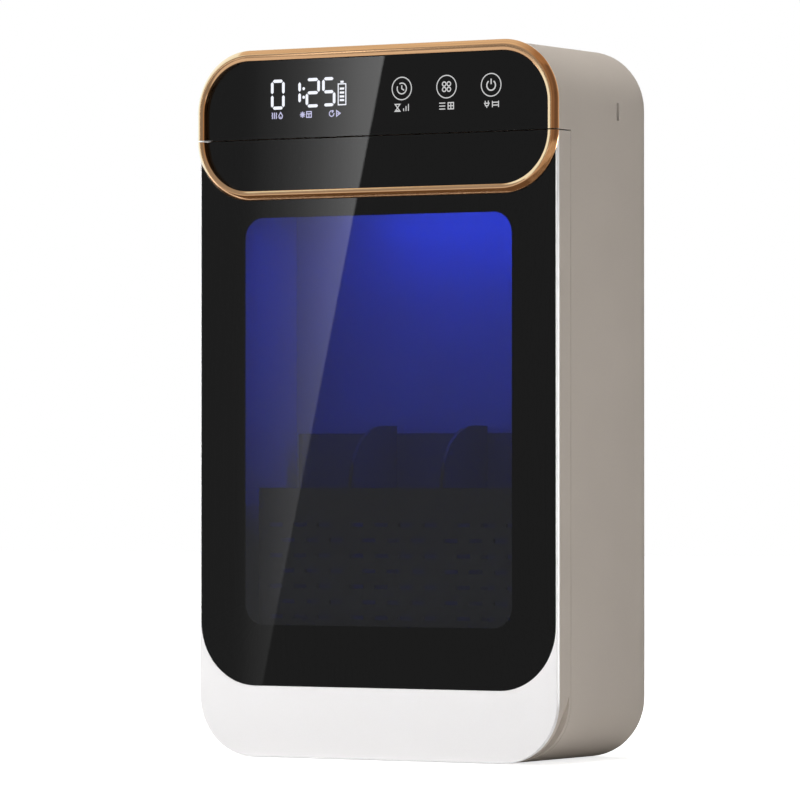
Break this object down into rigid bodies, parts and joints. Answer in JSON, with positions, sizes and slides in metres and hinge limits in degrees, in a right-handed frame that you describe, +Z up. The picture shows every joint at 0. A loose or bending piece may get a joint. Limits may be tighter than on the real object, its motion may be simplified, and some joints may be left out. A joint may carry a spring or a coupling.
{
  "type": "chopstick sterilizer box",
  "caption": "Tall sterilizer and drying cabinet for chopsticks and cutlery, with a glass door, a touch display head, a lit chamber and a lift-out basket.",
  "frame": {"origin": "middle of the whole box's footprint, on the surface it stands on", "axes": "+Z up, -Y out of the front glass, +X to the right seen from the front"},
  "size_m": [0.2004, 0.099, 0.3403],
  "materials": {
    "beige_shell": "fine satin moulded plastic, warm grey",
    "white_shell": "satin white moulded plastic",
    "clear_glass": "polished dark tinted glass",
    "black_print": "black screen print film",
    "rose_gold": "rose-gold plated, polished with fine brushing",
    "dark_plastic": "fine textured dark plastic",
    "black_plastic": "textured black plastic",
    "grey_plastic": "satin light grey plastic",
    "white_plastic": "satin",
    "steel": "zinc plated",
    "soft_rubber": "soft matt",
    "magnet": "nickel plated",
    "lamp_glass": "clear quartz tube",
    "reflector": "bright rolled sheet",
    "heater_fins": "plain rolled fins",
    "cell_sleeve": "shrink sleeve",
    "board": "solder mask",
    "brass": "turned"
  },
  "bodies": {
    "cabinet": {"casing": "beige_shell", "back_cover": "beige_shell", "display_glass": "clear_glass", "display_mask": "black_print", "trim_ring_upper": "rose_gold", "hinge_pin_lower": "steel", "hinge_pin_upper": "steel", "liner_screws": "steel", "board_screws": "steel", "back_cover_screws": "steel", "rubber_feet": "soft_rubber", "case_magnets": "magnet", "chamber_liner": "grey_plastic", "chamber_bezel": "grey_plastic", "basket_feet": "soft_rubber", "drip_tray": "dark_plastic", "cutlery_basket": "dark_plastic", "left_divider": "dark_plastic", "right_divider": "dark_plastic", "uv_lamp": "lamp_glass", "lamp_holder_left": "white_plastic", "lamp_holder_right": "white_plastic", "lamp_reflector": "reflector", "ptc_heater": "heater_fins", "air_grille": "dark_plastic", "fan_frame": "black_plastic", "battery_cells": "cell_sleeve", "battery_cradle": "black_plastic", "main_board": "board", "display_board": "board", "charging_board": "board", "display_module": "black_plastic", "touch_springs": "steel", "head_chassis": "black_plastic", "charging_socket": "steel", "wall_inserts": "brass"},
    "door": {"face_plate": "white_shell", "front_glass": "clear_glass", "front_mask": "black_print", "trim_ring_lower": "rose_gold", "door_frame": "beige_shell", "door_inner_cover": "dark_plastic", "door_cover_screws": "steel", "door_gasket": "soft_rubber", "door_magnets": "magnet"},
    "fan": {"fan_rotor": "black_plastic"}
  },
  "joints": [
    {"name": "door_hinge", "type": "hinge", "parent": "cabinet", "child": "door", "pos_m": [-0.0964, -0.0372, 0.148], "axis": [0, 0, -1], "range_deg": [0, 110]},
    {"name": "fan_spin", "type": "hinge", "parent": "cabinet", "child": "fan", "pos_m": [0, 0.0339, 0.085], "axis": [0, 1, 0], "continuous": true}
  ]
}
